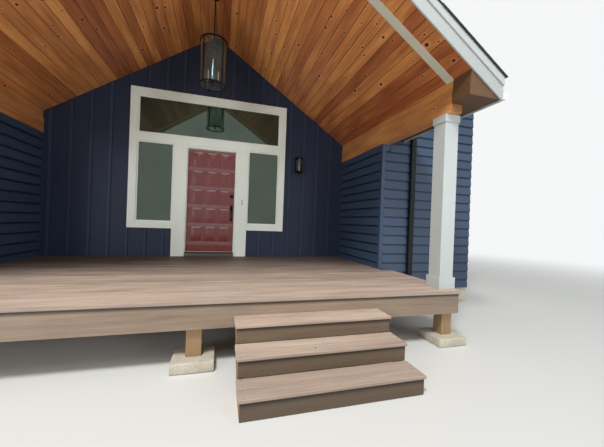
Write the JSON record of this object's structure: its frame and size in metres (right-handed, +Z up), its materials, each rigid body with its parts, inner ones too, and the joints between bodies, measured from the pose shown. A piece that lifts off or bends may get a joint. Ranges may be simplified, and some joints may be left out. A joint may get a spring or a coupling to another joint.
{
  "type": "entrance porch",
  "caption": "Gabled house porch: board deck with wide steps, boxed columns, open board ceiling, and a house wall with a hinged panelled door, side windows and a transom.",
  "frame": {"origin": "middle of the footprint at ground level", "axes": "+X to the right along the house wall seen from the street, +Y into the house, +Z up; metres"},
  "size_m": [9.4, 4.188, 5.2811],
  "materials": {
    "concrete": "rough cast",
    "bare_timber": "treated softwood, unpainted",
    "deck_wood": "weathered brown boards",
    "navy_paint": "dark satin paint",
    "blue_paint": "satin paint",
    "cream_paint": "satin paint",
    "white_paint": "satin paint",
    "stained_wood": "clear stain over knotty boards",
    "window_glass": "clear, dark room behind",
    "lamp_glass": "clear",
    "sill_metal": "brushed",
    "door_paint": "satin paint",
    "black_metal": "satin",
    "hinge_steel": "dark",
    "bell_plastic": "matte, dark buttons",
    "shingle": "mineral surface",
    "white_metal": "gloss",
    "dark_metal": "satin",
    "candle": "matte"
  },
  "bodies": {
    "porch": {"foundation_walls": "concrete", "deck_footings": "concrete", "deck_posts": "bare_timber", "deck_beam": "bare_timber", "deck_joists": "bare_timber", "deck_ledger": "bare_timber", "stair_stringers": "bare_timber", "ridge_board": "bare_timber", "rafters": "bare_timber", "eave_blocking": "bare_timber", "roof_boards": "bare_timber", "deck_rim": "deck_wood", "decking": "deck_wood", "stair_risers": "deck_wood", "treads": "deck_wood", "back_walls": "navy_paint", "gable_wall": "navy_paint", "apron_walls": "navy_paint", "return_walls": "blue_paint", "wing_walls": "blue_paint", "corner_posts": "blue_paint", "door_sill_wall": "navy_paint", "wall_piers": "cream_paint", "entry_header": "cream_paint", "entry_casing": "cream_paint", "window_frames": "cream_paint", "door_frame": "cream_paint", "rake_boards": "cream_paint", "eave_fascias": "cream_paint", "ceiling_strips": "cream_paint", "column_bases": "white_paint", "column_shafts": "white_paint", "column_caps": "white_paint", "window_glass": "window_glass", "lantern_glass": "lamp_glass", "wall_light_glass": "lamp_glass", "threshold": "sill_metal", "frame_hinges": "hinge_steel", "doorbell": "bell_plastic", "eave_beams": "stained_wood", "frieze_boards": "stained_wood", "ceiling_boards": "stained_wood", "eave_soffits": "stained_wood", "eave_returns": "stained_wood", "shingles": "shingle", "gutters": "white_metal", "downspouts": "dark_metal", "lantern_frame": "black_metal", "candles": "candle", "wall_light": "black_metal"},
    "door": {"door": "door_paint", "door_handles": "black_metal", "door_leaves": "hinge_steel"}
  },
  "joints": [
    {"name": "door_swing", "type": "hinge", "parent": "porch", "child": "door", "pos_m": [-0.46025, 2.025, 0.73], "axis": [0, 0, 1], "range_deg": [0, 100]}
  ]
}
